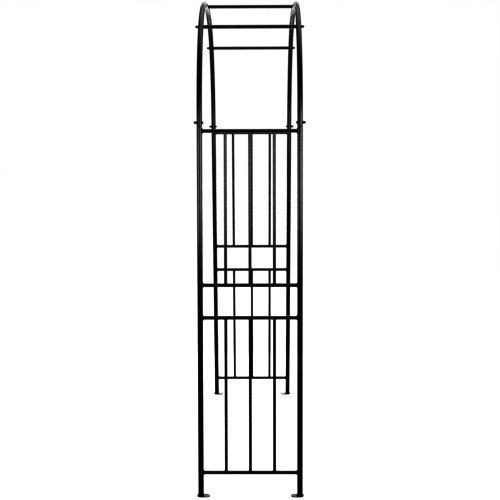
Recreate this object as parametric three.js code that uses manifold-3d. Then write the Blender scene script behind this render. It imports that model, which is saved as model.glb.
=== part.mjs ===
// A garden arch of round steel tube. Two trellis side panels lean outwards to
// the ground. Two bent hoops plug onto their posts and cross overhead, and three
// crossbars are screwed between the hoops.
//
// Millimetres, +Z up. +X runs along the span, from the left panel to the right
// one. +Y runs through the arch, from front to back. The origin is on the
// ground, midway between the four feet.

import * as THREE from 'three';
import { mergeVertices } from 'three/addons/utils/BufferGeometryUtils.js';
import Module from 'manifold-3d';

// ---------------------------------------------------------------------------
// Driving dimensions
// ---------------------------------------------------------------------------

// Air between pieces that touch, are welded or are screwed together.
const CLEARANCE = 0.3;

// Main tube, which the posts and the hoops are made of.
const MAIN_DIAMETER = 22;
const MAIN_WALL = 1.2;

// Side panels. Heights run along the leaning post.
const POST_SPACING = 410; // centre line to centre line, front to back
const POST_LENGTH = 1522; // from the ground to the seam under the hoop
const BOTTOM_RAIL_HEIGHT = 99;
const LOWER_BAY_HEIGHT = 644; // rail centre to rail centre
const MIDDLE_BAND_HEIGHT = 134;
const TOP_RAIL_DROP = 15; // below the seam
const RAIL_DIAMETER = 15;
const RAIL_WALL = 1.2;
const SPINDLE_DIAMETER = 12;
const SPINDLE_WALL = 1;
const SPINDLES_PER_BAY = 3;

// Hoops. The bend is a fuller curve than an ellipse, set by its power, and each
// end runs on straight, in line with the post, to take the spigot.
const HOOP_HALF_WIDTH = 584; // centre line, at the widest
const HOOP_RISE = 634; // from the level where it is widest to the crown
const BEND_START = 115; // height of the bend's ends above that level
const BEND_POWER = 2.4;
const SPIGOT_REACH = 38; // how far the spigot goes into the post and the hoop
const SPIGOT_WALL = 1.5;
const STRAIGHT_PAST_SPIGOT = 7;
const SEAM_GAP = 3; // between a post's top and the hoop's end, where the spigot shows
const JOINT_BOLT_HEIGHT = 19; // above the seam

// Crossbars.
const CROSSBAR_DIAMETER = 15;
const CROSSBAR_WALL = 1.2;
const SIDE_CROSSBAR_DROP = 145; // below the crown crossbar
const PLUG_LENGTH = 20;
const PLUG_SETBACK = 2; // from the hoop's surface

// Screw threads, round bolt heads and domed cap nuts.
const THREAD_DIAMETER = 6;
const BOLT_HEAD_DIAMETER = 11;
const BOLT_HEAD_HEIGHT = 5.5;
const HEX_ACROSS_FLATS = 10;
const NUT_HEX_HEIGHT = 5;
const NUT_HEIGHT = 12;
const NUT_BORE_DEPTH = 8;
const DOME_DIAMETER = 9.5;
const DOME_OVERLAP = 1; // how far the dome starts inside the hexagon

// Foot plates.
const PLATE_THICKNESS = 4;
const PLATE_MARGIN = 4; // round the post
const PEG_HOLE_DIAMETER = 10;
const PEG_HOLE_GAP = 6; // from the post to the hole

// How finely round pieces are faceted.
const MAIN_SIDES = 16;
const RAIL_SIDES = 12;
const SCREW_SIDES = 12;
const PLATE_SIDES = 24;
const HOOP_STEPS = 44;
const ROUND_END_STEPS = 4;

// ---------------------------------------------------------------------------
// Sizes that follow from them
// ---------------------------------------------------------------------------

const MAIN_RADIUS = MAIN_DIAMETER / 2;
const RAIL_RADIUS = RAIL_DIAMETER / 2;
const SPINDLE_RADIUS = SPINDLE_DIAMETER / 2;
const CROSSBAR_RADIUS = CROSSBAR_DIAMETER / 2;
const THREAD_RADIUS = THREAD_DIAMETER / 2;
const HOLE_RADIUS = THREAD_RADIUS + CLEARANCE;

// The hoop's bend starts where its slope is the slope of the leaning posts.
const startShare = BEND_START / HOOP_RISE;
const startSpread = (1 - startShare ** BEND_POWER) ** (1 / BEND_POWER);
const bendStartX = HOOP_HALF_WIDTH * startSpread;
const slope = (HOOP_HALF_WIDTH / HOOP_RISE) * (startShare / startSpread) ** (BEND_POWER - 1);
const LEAN = Math.atan(slope);

const STRAIGHT_LENGTH = SPIGOT_REACH + STRAIGHT_PAST_SPIGOT;
const seamX = bendStartX + STRAIGHT_LENGTH * Math.sin(LEAN);
const seamZ = POST_LENGTH * Math.cos(LEAN);
const hoopEndX = seamX - SEAM_GAP * Math.sin(LEAN);
const hoopEndZ = seamZ + SEAM_GAP * Math.cos(LEAN);
const footX = seamX + POST_LENGTH * Math.sin(LEAN);
const bendStartZ = seamZ + STRAIGHT_LENGTH * Math.cos(LEAN);
const widestZ = bendStartZ - BEND_START;
const crownZ = widestZ + HOOP_RISE;

// Rail heights in the panel's own frame, whose origin is at the seam.
const railHeights = {
  bottom: BOTTOM_RAIL_HEIGHT - POST_LENGTH,
  lower_middle: BOTTOM_RAIL_HEIGHT + LOWER_BAY_HEIGHT - POST_LENGTH,
  upper_middle: BOTTOM_RAIL_HEIGHT + LOWER_BAY_HEIGHT + MIDDLE_BAND_HEIGHT - POST_LENGTH,
  top: -TOP_RAIL_DROP,
};
const bays = {
  lower: [railHeights.bottom, railHeights.lower_middle],
  upper: [railHeights.upper_middle, railHeights.top],
};

// Equal air between the posts and the spindles of a bay.
const bayAir = POST_SPACING - MAIN_DIAMETER - SPINDLES_PER_BAY * SPINDLE_DIAMETER;
const spindlePitch = bayAir / (SPINDLES_PER_BAY + 1) + SPINDLE_DIAMETER;

// ---------------------------------------------------------------------------
// Solids
// ---------------------------------------------------------------------------

const wasm = await Module();
wasm.setup();

// Turns a closed three.js geometry into a solid that can be joined and cut.
function solidOf(geometry) {
  geometry.deleteAttribute('normal');
  geometry.deleteAttribute('uv');
  const merged = mergeVertices(geometry);
  const corners = merged.index.array;
  const kept = [];
  for (let i = 0; i < corners.length; i += 3) {
    const [a, b, c] = corners.slice(i, i + 3);
    if (a !== b && b !== c && c !== a) {
      kept.push(a, b, c);
    }
  }
  return new wasm.Manifold(new wasm.Mesh({
    numProp: 3,
    vertProperties: Float32Array.from(merged.attributes.position.array),
    triVerts: Uint32Array.from(kept),
  }));
}

function geometryOf(solid) {
  const mesh = solid.getMesh();
  const geometry = new THREE.BufferGeometry();
  geometry.setAttribute('position', new THREE.BufferAttribute(mesh.vertProperties, 3));
  geometry.setIndex(new THREE.BufferAttribute(mesh.triVerts, 1));
  geometry.computeVertexNormals();
  return geometry;
}

function cut(solid, cutters) {
  return cutters.reduce((rest, cutter) => rest.subtract(cutter), solid);
}

function round(radius, boreRadius = 0) {
  const shape = new THREE.Shape();
  shape.absarc(0, 0, radius, 0, 2 * Math.PI);
  if (boreRadius > 0) {
    const bore = new THREE.Path();
    bore.absarc(0, 0, boreRadius, 0, 2 * Math.PI, true);
    shape.holes.push(bore);
  }
  return shape;
}

// A straight bar or tube along Z, from one height to the other.
function uprightBar(from, to, sides, radius, boreRadius = 0) {
  const bar = new THREE.ExtrudeGeometry(round(radius, boreRadius), {
    depth: to - from,
    bevelEnabled: false,
    curveSegments: sides / 2,
  });
  return bar.translate(0, 0, from);
}

// The same along Y, centred on the origin.
function crossBar(length, sides, radius, boreRadius = 0) {
  return uprightBar(-length / 2, length / 2, sides, radius, boreRadius).rotateX(-Math.PI / 2);
}

// A drill along Y through a point of the XZ plane.
function drill(x, z, depth) {
  return solidOf(crossBar(depth, SCREW_SIDES, HOLE_RADIUS).translate(x, 0, z));
}

// A body of revolution about Y, from its outline in radius and height.
function turned(outline, sides) {
  return new THREE.LatheGeometry(outline.map(([r, y]) => new THREE.Vector2(r, y)), sides);
}

// A quarter of an oval, as a lathe outline, from the axis outwards if it is a
// round end that points down, or back to the axis if it points up.
function roundEnd(radius, tip, base) {
  const outline = [];
  for (let step = 0; step <= ROUND_END_STEPS; step += 1) {
    const angle = (Math.PI / 2) * (step / ROUND_END_STEPS);
    outline.push([radius * Math.sin(angle), base + (tip - base) * Math.cos(angle)]);
  }
  outline[0][0] = 0;
  return tip < base ? outline : outline.reverse();
}

// ---------------------------------------------------------------------------
// The hoop's centre line, in the XZ plane
// ---------------------------------------------------------------------------

class Bend extends THREE.Curve {
  getPoint(t, target = new THREE.Vector3()) {
    const start = Math.atan2(BEND_START, bendStartX);
    const angle = start + (Math.PI - 2 * start) * t;
    const across = Math.abs(Math.cos(angle) / HOOP_HALF_WIDTH) ** BEND_POWER;
    const up = Math.abs(Math.sin(angle) / HOOP_RISE) ** BEND_POWER;
    const reach = (across + up) ** (-1 / BEND_POWER);
    return target.set(reach * Math.cos(angle), 0, widestZ + reach * Math.sin(angle));
  }
}

const hoopPath = new THREE.CurvePath();
hoopPath.add(new THREE.LineCurve3(
  new THREE.Vector3(hoopEndX, 0, hoopEndZ),
  new THREE.Vector3(bendStartX, 0, bendStartZ),
));
hoopPath.add(new Bend());
hoopPath.add(new THREE.LineCurve3(
  new THREE.Vector3(-bendStartX, 0, bendStartZ),
  new THREE.Vector3(-hoopEndX, 0, hoopEndZ),
));

function hoopTube(radius, boreRadius = 0) {
  return solidOf(new THREE.ExtrudeGeometry(round(radius, boreRadius), {
    extrudePath: hoopPath,
    steps: HOOP_STEPS,
    curveSegments: MAIN_SIDES / 2,
  }));
}

// Where the crossbars meet the hoops.
const sideShare = (HOOP_RISE - SIDE_CROSSBAR_DROP) / HOOP_RISE;
const sideCrossbarX = HOOP_HALF_WIDTH * (1 - sideShare ** BEND_POWER) ** (1 / BEND_POWER);
const crossbarPlaces = {
  left: [-sideCrossbarX, crownZ - SIDE_CROSSBAR_DROP],
  crown: [0, crownZ],
  right: [sideCrossbarX, crownZ - SIDE_CROSSBAR_DROP],
};

// Where the joint bolts pass through a hoop's two straight ends.
const jointBoltX = seamX - JOINT_BOLT_HEIGHT * Math.sin(LEAN);
const jointBoltZ = seamZ + JOINT_BOLT_HEIGHT * Math.cos(LEAN);

// ---------------------------------------------------------------------------
// Scene helpers
// ---------------------------------------------------------------------------

const FINISHES = {
  powder_coat: { color: 0x141516, roughness: 0.42, metalness: 0.0 },
  black_zinc: { color: 0x202123, roughness: 0.34, metalness: 0.7 },
};

function piece(name, geometry, finish) {
  const mesh = new THREE.Mesh(geometry, new THREE.MeshStandardMaterial(FINISHES[finish]));
  mesh.name = name;
  return mesh;
}

// The two ends of the arch as a person walks through it, front first.
const ENDS = { front: -1, back: 1 };

// ---------------------------------------------------------------------------
// Side panels, in a frame with its origin at the seam and +X to the outside
// ---------------------------------------------------------------------------

function postGeometry() {
  const tube = solidOf(uprightBar(
    -POST_LENGTH - MAIN_DIAMETER, 0, MAIN_SIDES, MAIN_RADIUS, MAIN_RADIUS - MAIN_WALL,
  ));
  // The lower end is cut level, just above the foot plate.
  const trimSize = 4 * MAIN_DIAMETER;
  const trim = new THREE.BoxGeometry(trimSize, trimSize, trimSize);
  trim.translate(0, 0, PLATE_THICKNESS + CLEARANCE - trimSize / 2);
  trim.rotateY(LEAN);
  trim.translate(0, 0, -POST_LENGTH);
  return geometryOf(tube.subtract(solidOf(trim)));
}

function railGeometry() {
  const tube = solidOf(crossBar(
    POST_SPACING, RAIL_SIDES, RAIL_RADIUS, RAIL_RADIUS - RAIL_WALL,
  ));
  // Both ends are coped to fit round the posts.
  const copes = Object.values(ENDS).map((end) => solidOf(
    uprightBar(-RAIL_DIAMETER, RAIL_DIAMETER, MAIN_SIDES, MAIN_RADIUS + CLEARANCE)
      .translate(0, end * POST_SPACING / 2, 0),
  ));
  return geometryOf(cut(tube, copes));
}

function spindleGeometry([lowerRail, upperRail]) {
  const tube = solidOf(uprightBar(
    lowerRail, upperRail, RAIL_SIDES, SPINDLE_RADIUS, SPINDLE_RADIUS - SPINDLE_WALL,
  ));
  // Both ends are coped to sit on the rails.
  const copes = [lowerRail, upperRail].map((height) => solidOf(
    crossBar(2 * SPINDLE_DIAMETER, RAIL_SIDES, RAIL_RADIUS + CLEARANCE).translate(0, 0, height),
  ));
  return geometryOf(cut(tube, copes));
}

function spigotGeometry() {
  const radius = MAIN_RADIUS - MAIN_WALL - CLEARANCE;
  const tube = solidOf(uprightBar(
    -SPIGOT_REACH, SPIGOT_REACH, MAIN_SIDES, radius, radius - SPIGOT_WALL,
  ));
  return geometryOf(tube.subtract(drill(0, JOINT_BOLT_HEIGHT, MAIN_DIAMETER)));
}

// A fastener's own frame has its origin on the hoop's centre line and +Y to the
// outside of the arch.
const seat = MAIN_RADIUS + CLEARANCE;
const screwEnd = seat + NUT_BORE_DEPTH - CLEARANCE;

function jointBoltGeometry() {
  return geometryOf(solidOf(turned([
    ...roundEnd(BOLT_HEAD_DIAMETER / 2, -seat - BOLT_HEAD_HEIGHT, -seat),
    [THREAD_RADIUS, -seat],
    [THREAD_RADIUS, screwEnd],
    [0, screwEnd],
  ], SCREW_SIDES)));
}

function capNutGeometry() {
  const cornerRadius = HEX_ACROSS_FLATS / 2 / Math.cos(Math.PI / 6);
  const hexagon = new THREE.CylinderGeometry(cornerRadius, cornerRadius, NUT_HEX_HEIGHT, 6);
  hexagon.translate(0, seat + NUT_HEX_HEIGHT / 2, 0);
  const domeRadius = DOME_DIAMETER / 2;
  const domeFoot = seat + NUT_HEX_HEIGHT - DOME_OVERLAP;
  const domeTop = seat + NUT_HEIGHT;
  const dome = turned([
    [0, domeFoot],
    [domeRadius, domeFoot],
    ...roundEnd(domeRadius, domeTop, domeTop - domeRadius),
  ], SCREW_SIDES);
  const bore = turned([
    [0, 0],
    [HOLE_RADIUS, 0],
    [HOLE_RADIUS, seat + NUT_BORE_DEPTH],
    [0, seat + NUT_BORE_DEPTH],
  ], SCREW_SIDES);
  return geometryOf(solidOf(hexagon).add(solidOf(dome)).subtract(solidOf(bore)));
}

// The threaded stud of a crossbar, with the plug that is welded into its end.
function studGeometry() {
  const plugRadius = CROSSBAR_RADIUS - CROSSBAR_WALL - CLEARANCE;
  const plugFace = -MAIN_RADIUS - PLUG_SETBACK;
  return geometryOf(solidOf(turned([
    [0, plugFace - PLUG_LENGTH],
    [plugRadius, plugFace - PLUG_LENGTH],
    [plugRadius, plugFace],
    [THREAD_RADIUS, plugFace],
    [THREAD_RADIUS, screwEnd],
    [0, screwEnd],
  ], SCREW_SIDES)));
}

// Turns a fastener's +Y to the outside, at the front or at the back.
function faceOutside(mesh, end) {
  mesh.rotation.z = end < 0 ? Math.PI : 0;
}

function sidePanel(side, ends) {
  const panel = new THREE.Group();
  for (const [endName, end] of Object.entries(ends)) {
    const y = end * POST_SPACING / 2;
    const post = piece(`${side}_post_${endName}`, postGeometry(), 'powder_coat');
    post.position.y = y;
    const spigot = piece(`${side}_spigot_${endName}`, spigotGeometry(), 'powder_coat');
    spigot.position.y = y;
    const bolt = piece(`${side}_joint_bolt_${endName}`, jointBoltGeometry(), 'black_zinc');
    const nut = piece(`${side}_joint_nut_${endName}`, capNutGeometry(), 'black_zinc');
    for (const fastener of [bolt, nut]) {
      fastener.position.set(0, y, JOINT_BOLT_HEIGHT);
      faceOutside(fastener, end);
    }
    panel.add(post, spigot, bolt, nut);
  }
  for (const [name, height] of Object.entries(railHeights)) {
    const rail = piece(`${side}_rail_${name}`, railGeometry(), 'powder_coat');
    rail.position.z = height;
    panel.add(rail);
  }
  for (const [bayName, bay] of Object.entries(bays)) {
    for (let number = 1; number <= SPINDLES_PER_BAY; number += 1) {
      const name = `${side}_spindle_${bayName}_${number}`;
      const spindle = piece(name, spindleGeometry(bay), 'powder_coat');
      spindle.position.y = (number - (SPINDLES_PER_BAY + 1) / 2) * spindlePitch * ends.back;
      panel.add(spindle);
    }
  }
  panel.position.set(seamX, 0, seamZ);
  panel.rotation.y = -LEAN;
  return panel;
}

// ---------------------------------------------------------------------------
// Foot plates, flat on the ground under the leaning posts
// ---------------------------------------------------------------------------

function footPlateGeometry() {
  const endRadius = MAIN_RADIUS + PLATE_MARGIN;
  const holeRadius = PEG_HOLE_DIAMETER / 2;
  const holeY = MAIN_RADIUS + PEG_HOLE_GAP + holeRadius;
  const outline = new THREE.Shape();
  outline.absarc(0, holeY, endRadius, 0, Math.PI);
  outline.absarc(0, 0, endRadius, Math.PI, 2 * Math.PI);
  const hole = new THREE.Path();
  hole.absarc(0, holeY, holeRadius, 0, 2 * Math.PI, true);
  outline.holes.push(hole);
  const plate = new THREE.ExtrudeGeometry(outline, {
    depth: PLATE_THICKNESS,
    bevelEnabled: false,
    curveSegments: PLATE_SIDES / 4,
  });
  return geometryOf(solidOf(plate));
}

function footPlates(side, ends) {
  const plates = new THREE.Group();
  for (const [endName, end] of Object.entries(ends)) {
    const plate = piece(`${side}_foot_plate_${endName}`, footPlateGeometry(), 'powder_coat');
    plate.position.set(footX, end * POST_SPACING / 2, 0);
    plate.rotation.z = end < 0 ? 0 : Math.PI;
    plates.add(plate);
  }
  return plates;
}

// ---------------------------------------------------------------------------
// Hoops and crossbars
// ---------------------------------------------------------------------------

function hoopGeometry() {
  const drills = Object.values(crossbarPlaces).map(([x, z]) => drill(x, z, 2 * MAIN_DIAMETER));
  drills.push(drill(jointBoltX, jointBoltZ, 2 * MAIN_DIAMETER));
  drills.push(drill(-jointBoltX, jointBoltZ, 2 * MAIN_DIAMETER));
  return geometryOf(cut(hoopTube(MAIN_RADIUS, MAIN_RADIUS - MAIN_WALL), drills));
}

function crossbarGeometry([x, z]) {
  const tube = solidOf(crossBar(
    POST_SPACING, RAIL_SIDES, CROSSBAR_RADIUS, CROSSBAR_RADIUS - CROSSBAR_WALL,
  ).translate(x, 0, z));
  // Both ends are coped to fit round the hoops.
  const copes = Object.values(ENDS).map((end) => (
    hoopTube(MAIN_RADIUS + CLEARANCE).translate([0, end * POST_SPACING / 2, 0])
  ));
  return geometryOf(cut(tube, copes));
}

function overhead() {
  const group = new THREE.Group();
  for (const [endName, end] of Object.entries(ENDS)) {
    const hoop = piece(`hoop_${endName}`, hoopGeometry(), 'powder_coat');
    hoop.position.y = end * POST_SPACING / 2;
    group.add(hoop);
  }
  for (const [place, [x, z]] of Object.entries(crossbarPlaces)) {
    group.add(piece(`crossbar_${place}`, crossbarGeometry([x, z]), 'powder_coat'));
    for (const [endName, end] of Object.entries(ENDS)) {
      const stud = piece(`crossbar_${place}_stud_${endName}`, studGeometry(), 'black_zinc');
      const nut = piece(`crossbar_${place}_nut_${endName}`, capNutGeometry(), 'black_zinc');
      for (const fastener of [stud, nut]) {
        fastener.position.set(x, end * POST_SPACING / 2, z);
        faceOutside(fastener, end);
      }
      group.add(stud, nut);
    }
  }
  return group;
}

// ---------------------------------------------------------------------------
// The whole arch. The left side is the right side turned half round, so that
// its front is the other end of its own frame.
// ---------------------------------------------------------------------------

const arch = new THREE.Group();
const right = new THREE.Group();
right.add(sidePanel('right', ENDS), footPlates('right', ENDS));
const turnedEnds = { front: -ENDS.front, back: -ENDS.back };
const left = new THREE.Group();
left.add(sidePanel('left', turnedEnds), footPlates('left', turnedEnds));
left.rotation.z = Math.PI;
arch.add(right, left, overhead());

export default arch;
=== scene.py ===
"""The finished look of a garden trellis arch of black powder-coated steel tube.

Two trellis panels lean outwards to the ground. Two bent hoops plug onto their posts and
three crossbars are screwed between the hoops. Everything is in metres, in the frame's own
axes: +X along the span, +Y through the arch from front to back, +Z up, with the origin on
the ground midway between the four feet.
"""

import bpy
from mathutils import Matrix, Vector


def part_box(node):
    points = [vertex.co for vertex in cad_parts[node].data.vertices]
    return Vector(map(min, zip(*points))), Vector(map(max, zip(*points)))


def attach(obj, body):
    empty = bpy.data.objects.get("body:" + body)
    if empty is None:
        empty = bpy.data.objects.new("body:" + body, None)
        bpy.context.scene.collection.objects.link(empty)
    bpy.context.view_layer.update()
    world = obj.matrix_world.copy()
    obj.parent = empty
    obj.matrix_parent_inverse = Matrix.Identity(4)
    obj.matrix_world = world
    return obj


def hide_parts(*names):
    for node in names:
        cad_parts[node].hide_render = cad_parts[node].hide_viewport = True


bl_info = {
    "name": "Trellis Arch",
    "version": (1, 0, 0),
    "blender": (4, 5, 0),
    "location": "View3D > Sidebar > Trellis Arch",
    "description": "Models the pieces of a tubular steel garden arch on its frame",
    "category": "Add Mesh",
}

import math

import bpy
from bpy.props import FloatProperty, FloatVectorProperty, IntProperty, PointerProperty
from mathutils import Matrix, Vector

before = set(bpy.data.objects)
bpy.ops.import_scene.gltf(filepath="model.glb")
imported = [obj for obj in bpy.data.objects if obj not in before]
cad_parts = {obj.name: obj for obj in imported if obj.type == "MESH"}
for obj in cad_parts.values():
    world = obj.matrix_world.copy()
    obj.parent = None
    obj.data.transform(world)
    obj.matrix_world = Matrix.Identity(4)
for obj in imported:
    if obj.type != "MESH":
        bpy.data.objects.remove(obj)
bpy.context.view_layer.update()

# ---------------------------------------------------------------------------
# Names of the pieces, as the frame has them
# ---------------------------------------------------------------------------

SIDES = ("right", "left")
ENDS = {"front": -1, "back": 1}
RAILS = ("bottom", "lower_middle", "upper_middle", "top")
BAYS = {"lower": ("bottom", "lower_middle"), "upper": ("upper_middle", "top")}
SPINDLES_PER_BAY = 3
CROSSBARS = ("left", "crown", "right")


def centre(node):
    low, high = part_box(node)
    return (low + high) / 2


def extent(node):
    low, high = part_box(node)
    return high - low


# ---------------------------------------------------------------------------
# Places that follow from the frame
# ---------------------------------------------------------------------------

POST_Y = centre("right_post_back").y
SEAM = centre("right_spigot_front")
TOP_RAIL = centre("right_rail_top")
BOTTOM_RAIL = centre("right_rail_bottom")
LEAN = math.atan2(BOTTOM_RAIL.x - TOP_RAIL.x, TOP_RAIL.z - BOTTOM_RAIL.z)
JOINT_BOLT = centre("right_joint_bolt_front")
SPIGOT_REACH = (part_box("right_spigot_front")[1].z - SEAM.z) / math.cos(LEAN)
PLATE_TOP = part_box("right_foot_plate_front")[1].z
FOOT_X = centre("right_foot_plate_front").x
NUT_SEAT = -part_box("right_joint_nut_front")[1].y
NUT_TIP = -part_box("right_joint_nut_front")[0].y
BOLT_HEAD_TIP = -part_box("right_joint_bolt_front")[1].y
SCREW_TIP = -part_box("right_joint_bolt_front")[0].y

# The right panel's own frame has its origin at the seam between post and hoop, +Z up the
# leaning posts and +X to the outside. The left panel is the right one turned half round.
RIGHT_PANEL = Matrix.Translation((SEAM.x, 0, SEAM.z)) @ Matrix.Rotation(-LEAN, 4, "Y")
HALF_TURN = Matrix.Rotation(math.pi, 4, "Z")
ALONG_Y = Matrix.Rotation(-math.pi / 2, 4, "X")

# Facets round each kind of tube, screw and nut, and along the bend of a hoop.
MAIN_SIDES = 48
RAIL_SIDES = 40
SCREW_SIDES = 32
DOME_SIDES = 40
CONE_SIDES = 50
BEND_STEPS = 160

# Air left between two tubes that are welded or screwed together.
FIT = 0.00005

# A drill reaches this far past three times its radius, to each side of a tube's middle.
DRILL_REACH = 0.02

# A cap nut's cones, as a share of how far its corners stand out past its flats, how far the
# body that cuts them stands off the hexagon, and how far the dome starts inside it.
CONE_SHARE = 0.6
NUT_OFFSET = 0.0001
DOME_OVERLAP = 0.001

# Edges that turn by more than this many degrees are rounded.
TUBE_RIM = 60
PLATE_EDGE = 50

# Where a weld bead's middle lies, as shares of the bead's radius off the two surfaces that it
# joins, and how far it sinks into the wall of its own tube, as a share of that wall.
BEAD_OFF_TUBE = 0.7
BEAD_OFF_JOINT = 0.3
BEAD_IN_WALL = 0.8

# Edges sharper than this stay crisp. A rounded rim is crisper than it at every step, so
# that the long faces beside it keep their true shading.
SMOOTH_BELOW = math.radians(20)


# ---------------------------------------------------------------------------
# Sizes and colours that a user would change
# ---------------------------------------------------------------------------


def length(name, description, default, lowest=0.0002):
    return FloatProperty(
        name=name,
        description=description,
        default=default,
        min=lowest,
        subtype="DISTANCE",
        unit="LENGTH",
    )


def colour(name, description, default):
    return FloatVectorProperty(
        name=name,
        description=description,
        default=default,
        min=0,
        max=1,
        size=3,
        subtype="COLOR",
    )


def factor(name, description, default):
    return FloatProperty(
        name=name,
        description=description,
        default=default,
        min=0,
        max=1,
        subtype="FACTOR",
    )


class ArchTubes(bpy.types.PropertyGroup):
    main_diameter: length("Main tube", "Outside of the posts and hoops", extent("hoop_front").y)
    main_wall: length("Main wall", "Wall of the posts and hoops", 0.0012)
    rail_diameter: length("Rail tube", "Outside of the rails", extent("right_rail_top").z)
    rail_wall: length("Rail wall", "Wall of the rails and the crossbars", 0.0012)
    spindle_diameter: length(
        "Spindle tube", "Outside of the spindles", extent("right_spindle_upper_2").y
    )
    spindle_wall: length("Spindle wall", "Wall of the spindles", 0.001)
    spigot_wall: length("Spigot wall", "Wall of the spigots inside the joints", 0.0015)
    play: length("Play", "Air round each spigot, plug, bolt and stud", 0.0003)
    seam_gap: length("Seam gap", "From a post's top up to the end of the hoop", 0.003)
    rim_rounding: length("Rim rounding", "Rounding of a sawn tube's rim", 0.0003)


class ArchBend(bpy.types.PropertyGroup):
    half_width: length("Half width", "From the middle out to a hoop's widest point", 0.584)
    rise: length("Rise", "From the level where a hoop is widest up to its crown", 0.634)
    start: length(
        "Bend start", "Height above that level where the bend meets the post's line", 0.115
    )
    power: FloatProperty(
        name="Fullness",
        description="Power of the bend, which is 2 for an ellipse and more for a fuller arch",
        default=2.4,
        min=2,
        max=4,
    )


class ArchWelds(bpy.types.PropertyGroup):
    rail_bead: length("Rail bead", "Radius of the weld bead at a rail's ends", 0.0022)
    spindle_bead: length("Spindle bead", "Radius of the weld bead at a spindle's ends", 0.0012)
    foot_bead: length("Foot bead", "Radius of the weld bead round a post's foot", 0.0025)
    ripples: IntProperty(
        name="Ripples", description="Ripples in a weld bead, all the way round", default=22, min=3
    )
    ripple_depth: factor("Ripple depth", "Share of a bead's radius that its ripples take", 0.1)


class ArchFasteners(bpy.types.PropertyGroup):
    thread_diameter: length("Thread", "Diameter of the joint bolts and studs", 0.006)
    head_diameter: length("Bolt head", "Diameter of a joint bolt's round head", 0.011)
    socket_width: length("Socket", "Across the flats of the hexagon socket in a bolt head", 0.004)
    socket_depth: length("Socket depth", "Depth of the hexagon socket in a bolt head", 0.0025)
    nut_width: length("Nut", "Across the flats of a cap nut", 0.01)
    nut_hex_height: length("Nut hexagon", "Height of a cap nut's hexagon", 0.005)
    dome_diameter: length("Nut dome", "Diameter of a cap nut's dome", 0.0095)
    bore_depth: length("Nut bore", "Depth of the threaded bore in a cap nut", 0.008)
    chamfer: length("Chamfer", "Chamfer at the end of a thread or plug", 0.0006)
    plug_length: length("Plug", "Length of the plug that holds a stud in a crossbar", 0.02)
    plug_setback: length("Plug setback", "From the hoop's surface to the plug", 0.002)


class ArchFeet(bpy.types.PropertyGroup):
    peg_hole_diameter: length("Peg hole", "Diameter of the hole for a ground peg", 0.01)
    edge_rounding: length("Edge rounding", "Rounding of a foot plate's edges", 0.0007)


class ArchFinishes(bpy.types.PropertyGroup):
    coat_colour: colour("Powder coat", "Colour of the powder coat", (0.0022, 0.0023, 0.0025))
    coat_pale: colour(
        "Powder coat, paler", "Colour of the coat where it lies thinner", (0.0045, 0.0046, 0.005)
    )
    dust_colour: colour("Dust", "Colour of the dust on the foot plates", (0.035, 0.031, 0.026))
    zinc_colour: colour("Black zinc", "Colour of the plated bolts and nuts", (0.018, 0.018, 0.02))
    coat_gloss: factor("Coat roughness", "Roughness of the powder coat", 0.25)
    zinc_gloss: factor("Zinc roughness", "Roughness of the plated bolts and nuts", 0.28)


SETTINGS = {
    "arch_tubes": ArchTubes,
    "arch_bend": ArchBend,
    "arch_welds": ArchWelds,
    "arch_fasteners": ArchFasteners,
    "arch_feet": ArchFeet,
    "arch_finishes": ArchFinishes,
}


# ---------------------------------------------------------------------------
# Modelling helpers
# ---------------------------------------------------------------------------


def select_only(piece):
    bpy.ops.object.select_all(action="DESELECT")
    piece.select_set(True)
    bpy.context.view_layer.objects.active = piece


def settle(name):
    """Names the piece that was just added, and moves its place into its mesh."""
    piece = bpy.context.active_object
    piece.name = name
    bpy.ops.object.transform_apply(location=True, rotation=True, scale=True)
    return piece


def upright_cylinder(name, radius, low, high, sides, x=0.0, y=0.0, caps="NGON"):
    bpy.ops.object.select_all(action="DESELECT")
    bpy.ops.mesh.primitive_cylinder_add(
        vertices=sides,
        radius=radius,
        depth=high - low,
        end_fill_type=caps,
        location=(x, y, (low + high) / 2),
    )
    return settle(name)


def modify(piece, kind, **values):
    """Adds a modifier, sets its values and applies it."""
    select_only(piece)
    modifier = piece.modifiers.new(kind.title(), kind)
    for key, value in values.items():
        setattr(modifier, key, value)
    bpy.ops.object.modifier_apply(modifier=modifier.name)


def combine(piece, other, operation):
    modify(piece, "BOOLEAN", operation=operation, solver="EXACT", object=other)
    bpy.data.objects.remove(other)


def give_wall(piece, wall):
    modify(piece, "SOLIDIFY", thickness=wall, offset=-1, use_even_offset=True)


def round_edges(piece, width, sharper_than, segments=2):
    modify(
        piece,
        "BEVEL",
        width=width,
        segments=segments,
        limit_method="ANGLE",
        angle_limit=math.radians(sharper_than),
    )


def clean_mesh(piece):
    select_only(piece)
    bpy.ops.object.mode_set(mode="EDIT")
    bpy.ops.mesh.select_all(action="SELECT")
    bpy.ops.mesh.remove_doubles(threshold=1e-6)
    bpy.ops.mesh.normals_make_consistent(inside=False)
    bpy.ops.object.mode_set(mode="OBJECT")


def transformed(piece, matrix):
    piece.data.transform(matrix)
    piece.data.update()
    return piece


def drill(piece, radius, x, z):
    """A hole along Y, right through the piece."""
    reach = 3 * radius + DRILL_REACH
    bit = transformed(
        upright_cylinder("bit", radius, -reach, reach, SCREW_SIDES),
        Matrix.Translation((x, centre_y(piece), z)) @ ALONG_Y,
    )
    combine(piece, bit, "DIFFERENCE")


def centre_y(piece):
    ys = [corner.co.y for corner in piece.data.vertices]
    return (min(ys) + max(ys)) / 2


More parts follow.
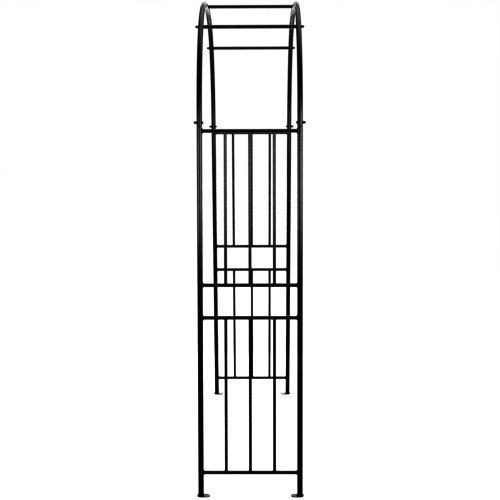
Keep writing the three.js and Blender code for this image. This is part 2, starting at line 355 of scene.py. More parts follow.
def spun(name, outline, steps=SCREW_SIDES):
    """A closed body of revolution about Z, from its outline in radius and height."""
    bpy.ops.object.select_all(action="DESELECT")
    mesh = bpy.data.meshes.new(name)
    corners = [(radius, 0, height) for radius, height in outline]
    mesh.from_pydata(corners, [(i, i + 1) for i in range(len(corners) - 1)], [])
    piece = bpy.data.objects.new(name, mesh)
    bpy.context.scene.collection.objects.link(piece)
    select_only(piece)
    bpy.ops.object.mode_set(mode="EDIT")
    bpy.ops.mesh.select_all(action="SELECT")
    bpy.ops.mesh.spin(
        steps=steps, angle=2 * math.pi, center=(0, 0, 0), axis=(0, 0, 1), use_auto_merge=True
    )
    bpy.ops.object.mode_set(mode="OBJECT")
    clean_mesh(piece)
    return piece


def arc(radius, height, low, steps=8):
    """The outline of a round end that stands on a height, from its rim in to its tip."""
    turns = [math.pi / 2 * step / steps for step in range(steps + 1)]
    return [(radius * math.cos(turn), low + height * math.sin(turn)) for turn in turns]


def weld_bead(ring_radius, bead_radius, welds, follow=None):
    """A rippled bead round Z. follow gives the height of the joint at each x across it."""
    bpy.ops.object.select_all(action="DESELECT")
    bpy.ops.mesh.primitive_torus_add(
        major_radius=ring_radius,
        minor_radius=bead_radius,
        major_segments=4 * welds.ripples,
        minor_segments=20,
    )
    bead = settle("bead")
    for corner in bead.data.vertices:
        turn = math.atan2(corner.co.y, corner.co.x)
        middle = Vector((math.cos(turn), math.sin(turn), 0)) * ring_radius
        swell = 1 - welds.ripple_depth * (0.5 + 0.5 * math.cos(welds.ripples * turn))
        corner.co = middle + (corner.co - middle) * swell
        if follow:
            corner.co.z += follow(middle.x)
    bead.data.update()
    return bead


def coped_tube(name, radius, wall, reach, met_radius, bead_radius, welds):
    """A tube along Z, cut to fit round the tubes along Y that it meets at each end.

    reach is how far the two met tubes' centre lines are from the middle. Where
    bead_radius isn't zero, a weld bead lies in the corner at each end.
    """
    tube = upright_cylinder(name, radius, -reach, reach, RAIL_SIDES, caps="NOTHING")
    give_wall(tube, wall)
    if bead_radius > 0:
        # The bead sits a little into the wall of its own tube, and well out from it.
        ring_radius = radius + bead_radius - wall * BEAD_IN_WALL
        lie = met_radius + bead_radius * BEAD_OFF_JOINT
        for end in (-1, 1):
            bead = weld_bead(
                ring_radius,
                bead_radius,
                welds,
                follow=lambda x, end=end: end * (reach - math.sqrt(lie**2 - x**2)),
            )
            combine(tube, bead, "UNION")
    for end in (-1, 1):
        met = transformed(
            upright_cylinder("met", met_radius + FIT, -4 * radius, 4 * radius, MAIN_SIDES),
            Matrix.Translation((0, 0, end * reach)) @ ALONG_Y,
        )
        combine(tube, met, "DIFFERENCE")
    return tube


def bent_tube(name, path, radius):
    """A tube's outside, along a path in the XZ plane."""
    curve = bpy.data.curves.new(name, "CURVE")
    curve.dimensions = "3D"
    curve.bevel_depth = radius
    curve.bevel_resolution = MAIN_SIDES // 4 - 2
    spline = curve.splines.new("POLY")
    spline.points.add(len(path) - 1)
    for point, (x, z) in zip(spline.points, path):
        point.co = (x, 0, z, 1)
    tube = bpy.data.objects.new(name, curve)
    bpy.context.scene.collection.objects.link(tube)
    select_only(tube)
    bpy.ops.object.convert(target="MESH")
    tube = bpy.context.active_object
    clean_mesh(tube)
    return tube


def hoop_line(tubes, bend):
    """The centre line of a hoop, in X and Z: a full bend with a short straight at each end."""
    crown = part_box("hoop_front")[1].z - tubes.main_diameter / 2
    widest = crown - bend.rise
    share = bend.start / bend.rise
    start_x = bend.half_width * (1 - share**bend.power) ** (1 / bend.power)
    start_turn = math.atan2(bend.start, start_x)
    line = []
    for step in range(BEND_STEPS + 1):
        turn = start_turn + (math.pi - 2 * start_turn) * step / BEND_STEPS
        across = abs(math.cos(turn) / bend.half_width) ** bend.power
        up = abs(math.sin(turn) / bend.rise) ** bend.power
        reach = (across + up) ** (-1 / bend.power)
        line.append((reach * math.cos(turn), widest + reach * math.sin(turn)))
    end_x = SEAM.x - tubes.seam_gap * math.sin(LEAN)
    end_z = SEAM.z + tubes.seam_gap * math.cos(LEAN)
    return [(end_x, end_z), *line, (-end_x, end_z)]


def hoop_slope(x, bend):
    """How far the hoop points below level where it has that x."""
    share = abs(x) / bend.half_width
    height = (1 - share**bend.power) ** (1 / bend.power)
    steepness = (bend.rise / bend.half_width) * (share / height) ** (bend.power - 1)
    return math.copysign(math.atan(steepness), x) if x else 0.0


# ---------------------------------------------------------------------------
# Putting pieces on the frame
# ---------------------------------------------------------------------------


def side_turn(side):
    """Turns what is modelled on the right side to its own side."""
    return Matrix() if side == "right" else HALF_TURN


def panel_y(side, end):
    """Where an end of the arch is in that panel's own frame."""
    return ENDS[end] * POST_Y * (1 if side == "right" else -1)


def leaning(node, side):
    """The middle of a node in a side panel, leaning as that panel does."""
    lean = -LEAN if side == "right" else LEAN
    return Matrix.Translation(centre(node)) @ Matrix.Rotation(lean, 4, "Y")


def outward(node, end):
    """Turns a fastener modelled along +Z to point out of the front or the back.

    Its origin comes to the hoop's centre line, level with the node.
    """
    at = centre(node)
    at.y = ENDS[end] * POST_Y
    turn = math.pi / 2 if end == "front" else -math.pi / 2
    return Matrix.Translation(at) @ Matrix.Rotation(turn, 4, "X")


def place_copies(master, places, material):
    """One copy of the finished master for each frame node, with its own mesh."""
    select_only(master)
    bpy.ops.object.shade_smooth_by_angle(angle=SMOOTH_BELOW)
    for node, matrix in places.items():
        piece = master.copy()
        piece.data = master.data.copy()
        piece.name = f"{node}_finished"
        piece.data.name = piece.name
        bpy.context.scene.collection.objects.link(piece)
        transformed(piece, matrix)
        piece.data.materials.clear()
        piece.data.materials.append(material)
        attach(piece, "root")
        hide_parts(node)
    bpy.data.objects.remove(master)


# ---------------------------------------------------------------------------
# Finishes
# ---------------------------------------------------------------------------

# How fine each pattern is: one over the distance between its features, in metres.
CLOUDS = 9
DULL_PATCHES = 26
SCUFFS = 60
DUST_PATCHES = 120
SEAM_SHADE_PATCHES = 180
ZINC_PATCHES = 240
ORANGE_PEEL = 620
ZINC_SMUTS = 700
ZINC_GRAIN = 1500

ORANGE_PEEL_DEPTH = 0.0003
ZINC_GRAIN_DEPTH = 0.0002

# Dust is densest at the ground and thins out up to this height.
DUST_TOP = 0.006


def new_finish(name):
    material = bpy.data.materials.new(name)
    material.use_nodes = True
    nodes = material.node_tree.nodes
    shader = nodes["Principled BSDF"]
    place = nodes.new("ShaderNodeTexCoord").outputs["Object"]
    return material, material.node_tree, shader, place


def noise(tree, place, scale, detail=2.0, stretch=None):
    """A noise pattern on the piece, with features about one over scale metres apart."""
    if stretch:
        mapping = tree.nodes.new("ShaderNodeMapping")
        mapping.inputs["Scale"].default_value = stretch
        tree.links.new(place, mapping.inputs["Vector"])
        place = mapping.outputs["Vector"]
    node = tree.nodes.new("ShaderNodeTexNoise")
    node.inputs["Scale"].default_value = scale
    node.inputs["Detail"].default_value = detail
    tree.links.new(place, node.inputs["Vector"])
    return node.outputs["Fac"]


def spread(tree, value, low, high, to_low, to_high):
    """Maps a value from low..high to to_low..to_high, held at both ends."""
    node = tree.nodes.new("ShaderNodeMapRange")
    tree.links.new(value, node.inputs["Value"])
    node.inputs["From Min"].default_value = low
    node.inputs["From Max"].default_value = high
    node.inputs["To Min"].default_value = to_low
    node.inputs["To Max"].default_value = to_high
    return node.outputs["Result"]


def blend_colours(tree, share, first, second):
    node = tree.nodes.new("ShaderNodeMix")
    node.data_type = "RGBA"
    tree.links.new(share, node.inputs["Factor"])
    for socket, value in ((node.inputs[6], first), (node.inputs[7], second)):
        if isinstance(value, bpy.types.NodeSocket):
            tree.links.new(value, socket)
        else:
            socket.default_value = (*value, 1)
    return node.outputs[2]


def multiply(tree, first, second):
    node = tree.nodes.new("ShaderNodeMath")
    node.operation = "MULTIPLY"
    tree.links.new(first, node.inputs[0])
    tree.links.new(second, node.inputs[1])
    return node.outputs[0]


def bump(tree, shader, height, strength, depth):
    node = tree.nodes.new("ShaderNodeBump")
    node.inputs["Strength"].default_value = strength
    node.inputs["Distance"].default_value = depth
    tree.links.new(height, node.inputs["Height"])
    tree.links.new(node.outputs["Normal"], shader.inputs["Normal"])


def coat_colours(tree, place, finishes):
    """Powder lies in faint clouds, paler where it is thin."""
    clouds = spread(tree, noise(tree, place, CLOUDS, 3), 0.35, 0.7, 0, 1)
    return blend_colours(tree, clouds, finishes.coat_colour, finishes.coat_pale)


def powder_coat(finishes):
    """Satin black powder coat: a faint orange peel, a little duller in patches."""
    material, tree, shader, place = new_finish("powder_coat_finish")
    tree.links.new(coat_colours(tree, place, finishes), shader.inputs["Base Color"])
    gloss = finishes.coat_gloss
    patches = noise(tree, place, DULL_PATCHES, 3)
    rough = spread(tree, patches, 0.3, 0.7, gloss - 0.03, gloss + 0.06)
    tree.links.new(rough, shader.inputs["Roughness"])
    bump(tree, shader, noise(tree, place, ORANGE_PEEL, 2), 0.12, ORANGE_PEEL_DEPTH)
    return material


def foot_coat(finishes):
    """The same coat on the foot plates, with a film of dust and a few scuffs."""
    material, tree, shader, place = new_finish("foot_coat_finish")
    coat = coat_colours(tree, place, finishes)
    height = tree.nodes.new("ShaderNodeSeparateXYZ")
    tree.links.new(place, height.inputs["Vector"])
    low_down = spread(tree, height.outputs["Z"], 0.0, DUST_TOP, 0.6, 0.15)
    patchy = spread(tree, noise(tree, place, DUST_PATCHES, 4), 0.45, 0.75, 0, 1)
    dust = multiply(tree, low_down, patchy)
    tree.links.new(
        blend_colours(tree, dust, coat, finishes.dust_colour), shader.inputs["Base Color"]
    )
    scuffs = noise(tree, place, SCUFFS, 5, stretch=(1, 6, 1))
    rough = spread(tree, scuffs, 0.4, 0.75, finishes.coat_gloss, finishes.coat_gloss + 0.2)
    tree.links.new(rough, shader.inputs["Roughness"])
    bump(tree, shader, noise(tree, place, ORANGE_PEEL, 2), 0.15, ORANGE_PEEL_DEPTH)
    return material


def matt_seam_shade(finishes):
    """Matt coat on the spigots with very little reflection: painted shade, so that the gap at the
    seam between post and hoop reads dark.
    """
    material, tree, shader, place = new_finish("matt_seam_shade_finish")
    tree.links.new(coat_colours(tree, place, finishes), shader.inputs["Base Color"])
    rough = spread(tree, noise(tree, place, SEAM_SHADE_PATCHES, 3), 0.3, 0.7, 0.55, 0.7)
    tree.links.new(rough, shader.inputs["Roughness"])
    # Low reflection paints the shade in the seam gap, so the spigot shows dark there.
    shader.inputs["Specular IOR Level"].default_value = 0.08
    return material


def black_zinc(finishes):
    """Black zinc plate on the fasteners, worn a little smoother in places."""
    material, tree, shader, place = new_finish("black_zinc_finish")
    patches = spread(tree, noise(tree, place, ZINC_PATCHES, 3), 0.3, 0.7, 0, 1)
    paler = [1.7 * channel for channel in finishes.zinc_colour]
    tree.links.new(
        blend_colours(tree, patches, finishes.zinc_colour, paler), shader.inputs["Base Color"]
    )
    gloss = finishes.zinc_gloss
    rough = spread(tree, noise(tree, place, ZINC_SMUTS, 3), 0.3, 0.7, gloss - 0.05, gloss + 0.1)
    tree.links.new(rough, shader.inputs["Roughness"])
    shader.inputs["Metallic"].default_value = 0.7
    bump(tree, shader, noise(tree, place, ZINC_GRAIN, 2), 0.1, ZINC_GRAIN_DEPTH)
    return material


def finish(name):
    """The finish of that name, made the first time that it is asked for."""
    makers = {
        "powder_coat": powder_coat,
        "foot_coat": foot_coat,
        "matt_seam_shade": matt_seam_shade,
        "black_zinc": black_zinc,
    }
    found = bpy.data.materials.get(f"{name}_finish")
    return found or makers[name](bpy.context.scene.arch_finishes)


# ---------------------------------------------------------------------------
# Operators: one for each group of like pieces
# ---------------------------------------------------------------------------


class ARCH_OT_posts(bpy.types.Operator):
    """Models the four leaning posts, each with the weld round its foot"""

    bl_idname = "arch.posts"
    bl_label = "Posts"

    def execute(self, context):
        tubes = context.scene.arch_tubes
        welds = context.scene.arch_welds
        radius = tubes.main_diameter / 2
        reach = SEAM.z / math.cos(LEAN) + tubes.main_diameter
        post = upright_cylinder("post", radius, -reach, 0, MAIN_SIDES, caps="NOTHING")
        give_wall(post, tubes.main_wall)
        round_edges(post, tubes.rim_rounding, TUBE_RIM)
        transformed(post, RIGHT_PANEL)
        foot_x = SEAM.x + (SEAM.z - PLATE_TOP) * math.tan(LEAN)
        bead = weld_bead(radius + welds.foot_bead * BEAD_OFF_TUBE, welds.foot_bead, welds)
        bead_z = PLATE_TOP + welds.foot_bead * BEAD_OFF_JOINT
        transformed(bead, Matrix.Translation((foot_x, 0, bead_z)))
        combine(post, bead, "UNION")
        select_only(post)
        bpy.ops.object.mode_set(mode="EDIT")
        bpy.ops.mesh.select_all(action="SELECT")
        bpy.ops.mesh.bisect(
            plane_co=(foot_x, 0, PLATE_TOP + FIT),
            plane_no=(0, 0, 1),
            use_fill=True,
            clear_inner=True,
        )
        bpy.ops.object.mode_set(mode="OBJECT")
        places = {}
        for side in SIDES:
            for end in ENDS:
                move = Matrix.Translation((0, panel_y(side, end), 0))
                places[f"{side}_post_{end}"] = side_turn(side) @ move
        place_copies(post, places, finish("powder_coat"))
        return {"FINISHED"}


class ARCH_OT_rails(bpy.types.Operator):
    """Models the eight rails that are welded between the posts"""

    bl_idname = "arch.rails"
    bl_label = "Rails"

    def execute(self, context):
        tubes = context.scene.arch_tubes
        welds = context.scene.arch_welds
        rail = coped_tube(
            "rail",
            tubes.rail_diameter / 2,
            tubes.rail_wall,
            POST_Y,
            tubes.main_diameter / 2,
            welds.rail_bead,
            welds,
        )
        # Coped along Z against a tube along Y; the posts run along the panel's Z.
        transformed(rail, ALONG_Y)
        places = {}
        for side in SIDES:
            for name in RAILS:
                node = f"{side}_rail_{name}"
                places[node] = leaning(node, side)
        place_copies(rail, places, finish("powder_coat"))
        return {"FINISHED"}


class ARCH_OT_spindles(bpy.types.Operator):
    """Models the twelve spindles that are welded between the rails"""

    bl_idname = "arch.spindles"
    bl_label = "Spindles"

    def execute(self, context):
        tubes = context.scene.arch_tubes
        welds = context.scene.arch_welds
        for bay, (low_rail, high_rail) in BAYS.items():
            low = centre(f"right_rail_{low_rail}")
            high = centre(f"right_rail_{high_rail}")
            spindle = coped_tube(
                f"spindle_{bay}",
                tubes.spindle_diameter / 2,
                tubes.spindle_wall,
                (high - low).length / 2,
                tubes.rail_diameter / 2,
                welds.spindle_bead,
                welds,
            )
            places = {}
            for side in SIDES:
                for number in range(1, SPINDLES_PER_BAY + 1):
                    node = f"{side}_spindle_{bay}_{number}"
                    places[node] = leaning(node, side)
            place_copies(spindle, places, finish("powder_coat"))
        return {"FINISHED"}


class ARCH_OT_spigots(bpy.types.Operator):
    """Models the four spigots, whose matt finish paints the shade of the dark ring between post
    and hoop
    """

    bl_idname = "arch.spigots"
    bl_label = "Spigots"

    def execute(self, context):
        tubes = context.scene.arch_tubes
        fasteners = context.scene.arch_fasteners
        radius = tubes.main_diameter / 2 - tubes.main_wall - tubes.play
        spigot = upright_cylinder(
            "spigot", radius, -SPIGOT_REACH, SPIGOT_REACH, MAIN_SIDES, caps="NOTHING"
        )
        give_wall(spigot, tubes.spigot_wall)
        round_edges(spigot, tubes.rim_rounding, TUBE_RIM)
        bolt_height = (JOINT_BOLT.z - SEAM.z) / math.cos(LEAN)
        drill(spigot, fasteners.thread_diameter / 2 + tubes.play, 0, bolt_height)
        places = {}
        for side in SIDES:
            for end in ENDS:
                move = Matrix.Translation((0, panel_y(side, end), 0))
                places[f"{side}_spigot_{end}"] = side_turn(side) @ RIGHT_PANEL @ move
        # The spigots take the matt finish: painted shade in the gap at the seam.
        place_copies(spigot, places, finish("matt_seam_shade"))
        return {"FINISHED"}


class ARCH_OT_foot_plates(bpy.types.Operator):
    """Models the four foot plates, each with its hole for a ground peg"""

    bl_idname = "arch.foot_plates"
    bl_label = "Foot plates"

    def execute(self, context):
        feet = context.scene.arch_feet
        low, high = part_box("right_foot_plate_front")
        end_radius = (high.x - low.x) / 2
        peg_y = high.y - end_radius
        plate = upright_cylinder(
            "foot_plate", end_radius, 0, PLATE_TOP, MAIN_SIDES, FOOT_X, low.y + end_radius
        )
        other_end = upright_cylinder(
            "other_end", end_radius, 0, PLATE_TOP, MAIN_SIDES, FOOT_X, peg_y
        )
        select_only(plate)
        other_end.select_set(True)
        bpy.ops.object.join()
        bpy.ops.object.mode_set(mode="EDIT")
        bpy.ops.mesh.select_all(action="SELECT")
        bpy.ops.mesh.convex_hull()
        bpy.ops.mesh.select_all(action="SELECT")
        bpy.ops.mesh.dissolve_limited(angle_limit=math.radians(1))
        bpy.ops.object.mode_set(mode="OBJECT")
        hole_radius = feet.peg_hole_diameter / 2
        hole = upright_cylinder(
            "hole", hole_radius, -PLATE_TOP, 2 * PLATE_TOP, SCREW_SIDES, FOOT_X, peg_y
        )
        combine(plate, hole, "DIFFERENCE")
        round_edges(plate, feet.edge_rounding, PLATE_EDGE)
        turned_in_place = Matrix.Translation((2 * FOOT_X, 0, 0)) @ HALF_TURN
        places = {
            "right_foot_plate_front": Matrix(),
            "left_foot_plate_back": HALF_TURN,
            "right_foot_plate_back": turned_in_place,
            "left_foot_plate_front": HALF_TURN @ turned_in_place,
        }
        place_copies(plate, places, finish("foot_coat"))
        return {"FINISHED"}


class ARCH_OT_hoops(bpy.types.Operator):
    """Models the two bent hoops, drilled for the joint bolts and the crossbar studs"""

    bl_idname = "arch.hoops"
    bl_label = "Hoops"

    def execute(self, context):
        tubes = context.scene.arch_tubes
        bend = context.scene.arch_bend
        fasteners = context.scene.arch_fasteners
        hoop = bent_tube("hoop", hoop_line(tubes, bend), tubes.main_diameter / 2)
        give_wall(hoop, tubes.main_wall)
        round_edges(hoop, tubes.rim_rounding, TUBE_RIM)
        hole_radius = fasteners.thread_diameter / 2 + tubes.play
        for x, z in [(JOINT_BOLT.x, JOINT_BOLT.z), (-JOINT_BOLT.x, JOINT_BOLT.z)]:
            drill(hoop, hole_radius, x, z)
        for place in CROSSBARS:
            at = centre(f"crossbar_{place}")
            drill(hoop, hole_radius, at.x, at.z)
        places = {
            f"hoop_{end}": Matrix.Translation((0, ENDS[end] * POST_Y, 0)) for end in ENDS
        }
        place_copies(hoop, places, finish("powder_coat"))
        return {"FINISHED"}


class ARCH_OT_crossbars(bpy.types.Operator):
    """Models the three crossbars between the hoops"""

    bl_idname = "arch.crossbars"
    bl_label = "Crossbars"

    def execute(self, context):
        tubes = context.scene.arch_tubes
        bend = context.scene.arch_bend
        diameter = extent("crossbar_crown").z
        crossbar = coped_tube(
            "crossbar",
            diameter / 2,
            tubes.rail_wall,
            POST_Y,
            tubes.main_diameter / 2,
            0,
            context.scene.arch_welds,
        )
        transformed(crossbar, ALONG_Y)
        places = {}
        for place in CROSSBARS:
            node = f"crossbar_{place}"
            at = centre(node)
            turn = Matrix.Rotation(hoop_slope(at.x, bend) + math.pi / 2, 4, "Y")
            places[node] = Matrix.Translation(at) @ turn
        place_copies(crossbar, places, finish("powder_coat"))
        return {"FINISHED"}


class ARCH_OT_joint_bolts(bpy.types.Operator):
    """Models the four round-headed bolts that lock the hoops to the spigots"""

    bl_idname = "arch.joint_bolts"
    bl_label = "Joint bolts"

    def execute(self, context):
        fasteners = context.scene.arch_fasteners
        thread_radius = fasteners.thread_diameter / 2
        seat = NUT_SEAT - POST_Y
        head_height = POST_Y - seat - BOLT_HEAD_TIP
        head = [
            (radius, -height)
            for radius, height in reversed(arc(fasteners.head_diameter / 2, head_height, seat))
        ]
        tip = SCREW_TIP - POST_Y
        bolt = spun(
            "joint_bolt",
            [
                *head,
                (thread_radius, -seat),
                (thread_radius, tip - fasteners.chamfer),
                (thread_radius - fasteners.chamfer, tip),
                (0, tip),
            ],
        )
        socket = upright_cylinder(
            "socket",
            fasteners.socket_width / 2 / math.cos(math.pi / 6),
            -seat - 2 * head_height,
            -seat - head_height + fasteners.socket_depth,
            6,
        )
        combine(bolt, socket, "DIFFERENCE")
        places = {}
        for side in SIDES:
            for end in ENDS:
                node = f"{side}_joint_bolt_{end}"
                places[node] = outward(node, end)
        place_copies(bolt, places, finish("black_zinc"))
        return {"FINISHED"}


class ARCH_OT_studs(bpy.types.Operator):
    """Models the six studs, each with the plug that holds it in a crossbar's end"""

    bl_idname = "arch.studs"
    bl_label = "Crossbar studs"

    def execute(self, context):
        tubes = context.scene.arch_tubes
        fasteners = context.scene.arch_fasteners
        thread_radius = fasteners.thread_diameter / 2
        bore_radius = extent("crossbar_crown").z / 2 - tubes.rail_wall
        plug_radius = bore_radius - tubes.play
        plug_face = -tubes.main_diameter / 2 - fasteners.plug_setback
        plug_end = plug_face - fasteners.plug_length
        tip = SCREW_TIP - POST_Y
        chamfer = fasteners.chamfer
        stud = spun(
            "stud",
            [
                (0, plug_end),
                (plug_radius - chamfer, plug_end),
                (plug_radius, plug_end + chamfer),
                (plug_radius, plug_face - chamfer),
                (plug_radius - chamfer, plug_face),
                (thread_radius, plug_face),
                (thread_radius, tip - chamfer),
                (thread_radius - chamfer, tip),
                (0, tip),
            ],
        )
        places = {}
        for place in CROSSBARS:
            for end in ENDS:
                crossbar = f"crossbar_{place}"
                places[f"{crossbar}_stud_{end}"] = outward(crossbar, end)
        place_copies(stud, places, finish("black_zinc"))
        return {"FINISHED"}


class ARCH_OT_cap_nuts(bpy.types.Operator):
    """Models the ten domed cap nuts on the outside of the hoops"""

    bl_idname = "arch.cap_nuts"
    bl_label = "Cap nuts"

    def execute(self, context):
        tubes = context.scene.arch_tubes
        fasteners = context.scene.arch_fasteners
        seat = NUT_SEAT - POST_Y
        tip = NUT_TIP - POST_Y
        flat_radius = fasteners.nut_width / 2
        corner_radius = flat_radius / math.cos(math.pi / 6)
        shoulder = seat + fasteners.nut_hex_height
        nut = upright_cylinder("cap_nut", corner_radius, seat, shoulder, 6)
        # The hexagon's corners are turned off to a cone at both faces. The cones' body stands
        # a little off the hexagon, so that no face of one lies in a face of the other.
        cone = (corner_radius - flat_radius) * CONE_SHARE
        face_radius = flat_radius - NUT_OFFSET
        side_radius = corner_radius + 2 * NUT_OFFSET
        turned = spun(
            "turned",
            [
                (0, seat - NUT_OFFSET),
                (face_radius, seat - NUT_OFFSET),
                (side_radius, seat + cone),
                (side_radius, shoulder - cone),
                (face_radius, shoulder + NUT_OFFSET),
                (0, shoulder + NUT_OFFSET),
            ],
            steps=CONE_SIDES,
        )
        combine(nut, turned, "INTERSECT")
        dome_radius = fasteners.dome_diameter / 2
        dome_foot = tip - dome_radius
        dome = spun(
            "dome",
            [
                (0, shoulder - DOME_OVERLAP),
                (dome_radius, shoulder - DOME_OVERLAP),
                *arc(dome_radius, tip - dome_foot, dome_foot),
            ],
            steps=DOME_SIDES,
        )
        combine(nut, dome, "UNION")
        bore = upright_cylinder(
            "bore",
            fasteners.thread_diameter / 2 + tubes.play,
            0,
            seat + fasteners.bore_depth,
            SCREW_SIDES,
        )
        combine(nut, bore, "DIFFERENCE")
        places = {}
        for end in ENDS:
            for side in SIDES:
                node = f"{side}_joint_nut_{end}"
                places[node] = outward(node, end)
            for place in CROSSBARS:
                crossbar = f"crossbar_{place}"
                places[f"{crossbar}_nut_{end}"] = outward(crossbar, end)
        place_copies(nut, places, finish("black_zinc"))
        return {"FINISHED"}


# ---------------------------------------------------------------------------
# The stage: floor, studio light and camera
# ---------------------------------------------------------------------------

CAMERA_PLACE = Vector((4.07741, 0.02726, 1.47005))
CAMERA_PITCH = -0.13021
CAMERA_YAW = -0.00787
CAMERA_ROLL = -0.00291
CAMERA_LENS = 61.2
CAMERA_SENSOR = 36

FLOOR_WIDTH = 60
FLOOR_DROP = 0.0002
FLOOR_GLOW = 0.87

# Each softbox has its place, the point it faces, its width, its height and its brightness.
SOFTBOXES = {
    "softbox_overhead": ((-0.4, 1.0, 4.0), (-0.4, 0.6, 1.0), 3.2, 5.0, 2.3),
    "softbox_back": ((-4.1, 0.0, 3.6), (0.3, 0.0, 1.4), 2.7, 2.2, 1.9),
    "softbox_back_low": ((-4.62, 0.0, 1.2), (0.3, 0.0, 1.4), 2.7, 1.8, 2.6),
    "softbox_feet": ((-1.6, 0.0, 0.65), (0.0, 0.0, 0.4), 0.95, 1.1, 4.0),
    "softbox_right": ((1.3, 1.2, 1.46), (0.6, 0.2, 1.4), 2.0, 0.68, 8.0),
    "softbox_left": ((0.95, -0.55, 1.33), (0.66, -0.2, 1.33), 0.5, 0.56, 6.5),
    "softbox_front": ((4.56, 2.46, 2.27), (0.3, 0.0, 1.4), 2.6, 0.9, 7.0),
    "softbox_front_left": ((2.0, -1.2, 1.6), (0.66, -0.2, 1.4), 1.0, 0.7, 2.8),
}


def softbox(name, place, target, width, height, brightness):
    light = bpy.data.lights.new(name, "AREA")
    light.shape = "RECTANGLE"
    light.size = width
    light.size_y = height
    light.energy = brightness * math.pi * width * height
    box = bpy.data.objects.new(name, light)
    bpy.context.scene.collection.objects.link(box)
    facing = Vector(target) - Vector(place)
    turn = facing.to_track_quat("-Z", "Y").to_matrix().to_4x4()
    box.matrix_world = Matrix.Translation(place) @ turn
    box.visible_camera = False


def studio_world():
    """White all round, but the tubes mirror a dark room with a faint glow from below."""
    world = bpy.data.worlds.new("studio")
    world.use_nodes = True
    tree = world.node_tree
    nodes = tree.nodes
    nodes.clear()
    output = nodes.new("ShaderNodeOutputWorld")
    rays = nodes.new("ShaderNodeLightPath")
    white = nodes.new("ShaderNodeBackground")
    white.inputs["Color"].default_value = (1, 1, 1, 1)
    mirrored = nodes.new("ShaderNodeBackground")
    direction = nodes.new("ShaderNodeTexCoord")
    parts = nodes.new("ShaderNodeSeparateXYZ")
    tree.links.new(direction.outputs["Generated"], parts.inputs["Vector"])
    glow = spread(tree, parts.outputs["Z"], -0.35, -0.8, 0.0, 1.2)
    tree.links.new(glow, mirrored.inputs["Strength"])
    mix = nodes.new("ShaderNodeMixShader")
    tree.links.new(rays.outputs["Is Glossy Ray"], mix.inputs["Fac"])
    tree.links.new(white.outputs["Background"], mix.inputs[1])
    tree.links.new(mirrored.outputs["Background"], mix.inputs[2])
    tree.links.new(mix.outputs["Shader"], output.inputs["Surface"])
    return world


def pale_floor():
    """A white floor with a glow of its own, so that it stays as white as the backdrop."""
    bpy.ops.object.select_all(action="DESELECT")
    bpy.ops.mesh.primitive_plane_add(size=FLOOR_WIDTH, location=(0, 0, -FLOOR_DROP))
    floor = settle("floor")
    material, tree, shader, place = new_finish("pale_floor")
    mottle = spread(tree, noise(tree, place, 3, 3), 0.3, 0.7, 0, 1)
    tree.links.new(
        blend_colours(tree, mottle, (0.14, 0.14, 0.14), (0.15, 0.15, 0.15)),
        shader.inputs["Base Color"],
    )
    shader.inputs["Roughness"].default_value = 0.8
    shader.inputs["Specular IOR Level"].default_value = 0.0
    shader.inputs["Emission Color"].default_value = (1, 1, 1, 1)
    shader.inputs["Emission Strength"].default_value = FLOOR_GLOW
    floor.data.materials.append(material)
    floor.visible_glossy = False


def place_camera(scene):
    forward = Vector(
        (
            -math.cos(CAMERA_PITCH) * math.cos(CAMERA_YAW),
            math.cos(CAMERA_PITCH) * math.sin(CAMERA_YAW),
            math.sin(CAMERA_PITCH),
        )
    )
    level = Vector((math.sin(CAMERA_YAW), math.cos(CAMERA_YAW), 0))
    upward = level.cross(forward)
    right = math.cos(CAMERA_ROLL) * level + math.sin(CAMERA_ROLL) * upward
    top = math.cos(CAMERA_ROLL) * upward - math.sin(CAMERA_ROLL) * level
    turn = Matrix((right, top, -forward)).transposed().to_4x4()
    lens = bpy.data.cameras.new("camera")
    lens.lens = CAMERA_LENS
    lens.sensor_width = CAMERA_SENSOR
    camera = bpy.data.objects.new("camera", lens)
    scene.collection.objects.link(camera)
    camera.matrix_world = Matrix.Translation(CAMERA_PLACE) @ turn
    scene.camera = camera


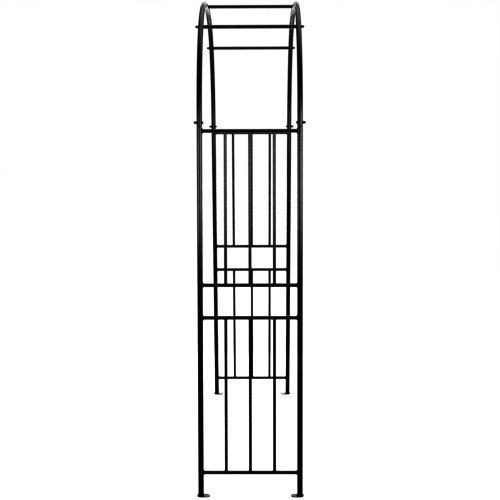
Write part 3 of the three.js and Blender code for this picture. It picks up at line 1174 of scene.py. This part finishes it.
class ARCH_OT_stage(bpy.types.Operator):
    """Sets out the floor, the studio light and the camera"""

    bl_idname = "arch.stage"
    bl_label = "Stage"

    def execute(self, context):
        scene = context.scene
        # Raw shows brightness in proportion, so that thin dark tube keeps its width on white.
        scene.view_settings.view_transform = "Raw"
        scene.world = studio_world()
        pale_floor()
        for name, values in SOFTBOXES.items():
            softbox(name, *values)
        place_camera(scene)
        return {"FINISHED"}


# ---------------------------------------------------------------------------
# Panel and registration
# ---------------------------------------------------------------------------

OPERATORS = (
    ARCH_OT_posts,
    ARCH_OT_rails,
    ARCH_OT_spindles,
    ARCH_OT_spigots,
    ARCH_OT_foot_plates,
    ARCH_OT_hoops,
    ARCH_OT_crossbars,
    ARCH_OT_joint_bolts,
    ARCH_OT_studs,
    ARCH_OT_cap_nuts,
    ARCH_OT_stage,
)


class ARCH_PT_pieces(bpy.types.Panel):
    """Sizes, colours and pieces of the trellis arch"""

    bl_label = "Trellis Arch"
    bl_space_type = "VIEW_3D"
    bl_region_type = "UI"
    bl_category = "Trellis Arch"

    def draw(self, context):
        layout = self.layout
        for attribute, group in SETTINGS.items():
            box = layout.box()
            for name in group.__annotations__:
                box.prop(getattr(context.scene, attribute), name)
        for operator in OPERATORS:
            layout.operator(operator.bl_idname)


def register():
    for attribute, group in SETTINGS.items():
        bpy.utils.register_class(group)
        setattr(bpy.types.Scene, attribute, PointerProperty(type=group))
    for operator in OPERATORS:
        bpy.utils.register_class(operator)
    bpy.utils.register_class(ARCH_PT_pieces)


def unregister():
    bpy.utils.unregister_class(ARCH_PT_pieces)
    for operator in reversed(OPERATORS):
        bpy.utils.unregister_class(operator)
    for attribute, group in SETTINGS.items():
        delattr(bpy.types.Scene, attribute)
        bpy.utils.unregister_class(group)


def main():
    register()
    bpy.ops.arch.posts()
    bpy.ops.arch.rails()
    bpy.ops.arch.spindles()
    bpy.ops.arch.spigots()
    bpy.ops.arch.foot_plates()
    bpy.ops.arch.hoops()
    bpy.ops.arch.crossbars()
    bpy.ops.arch.joint_bolts()
    bpy.ops.arch.studs()
    bpy.ops.arch.cap_nuts()
    bpy.ops.arch.stage()


if __name__ == "__main__":
    main()
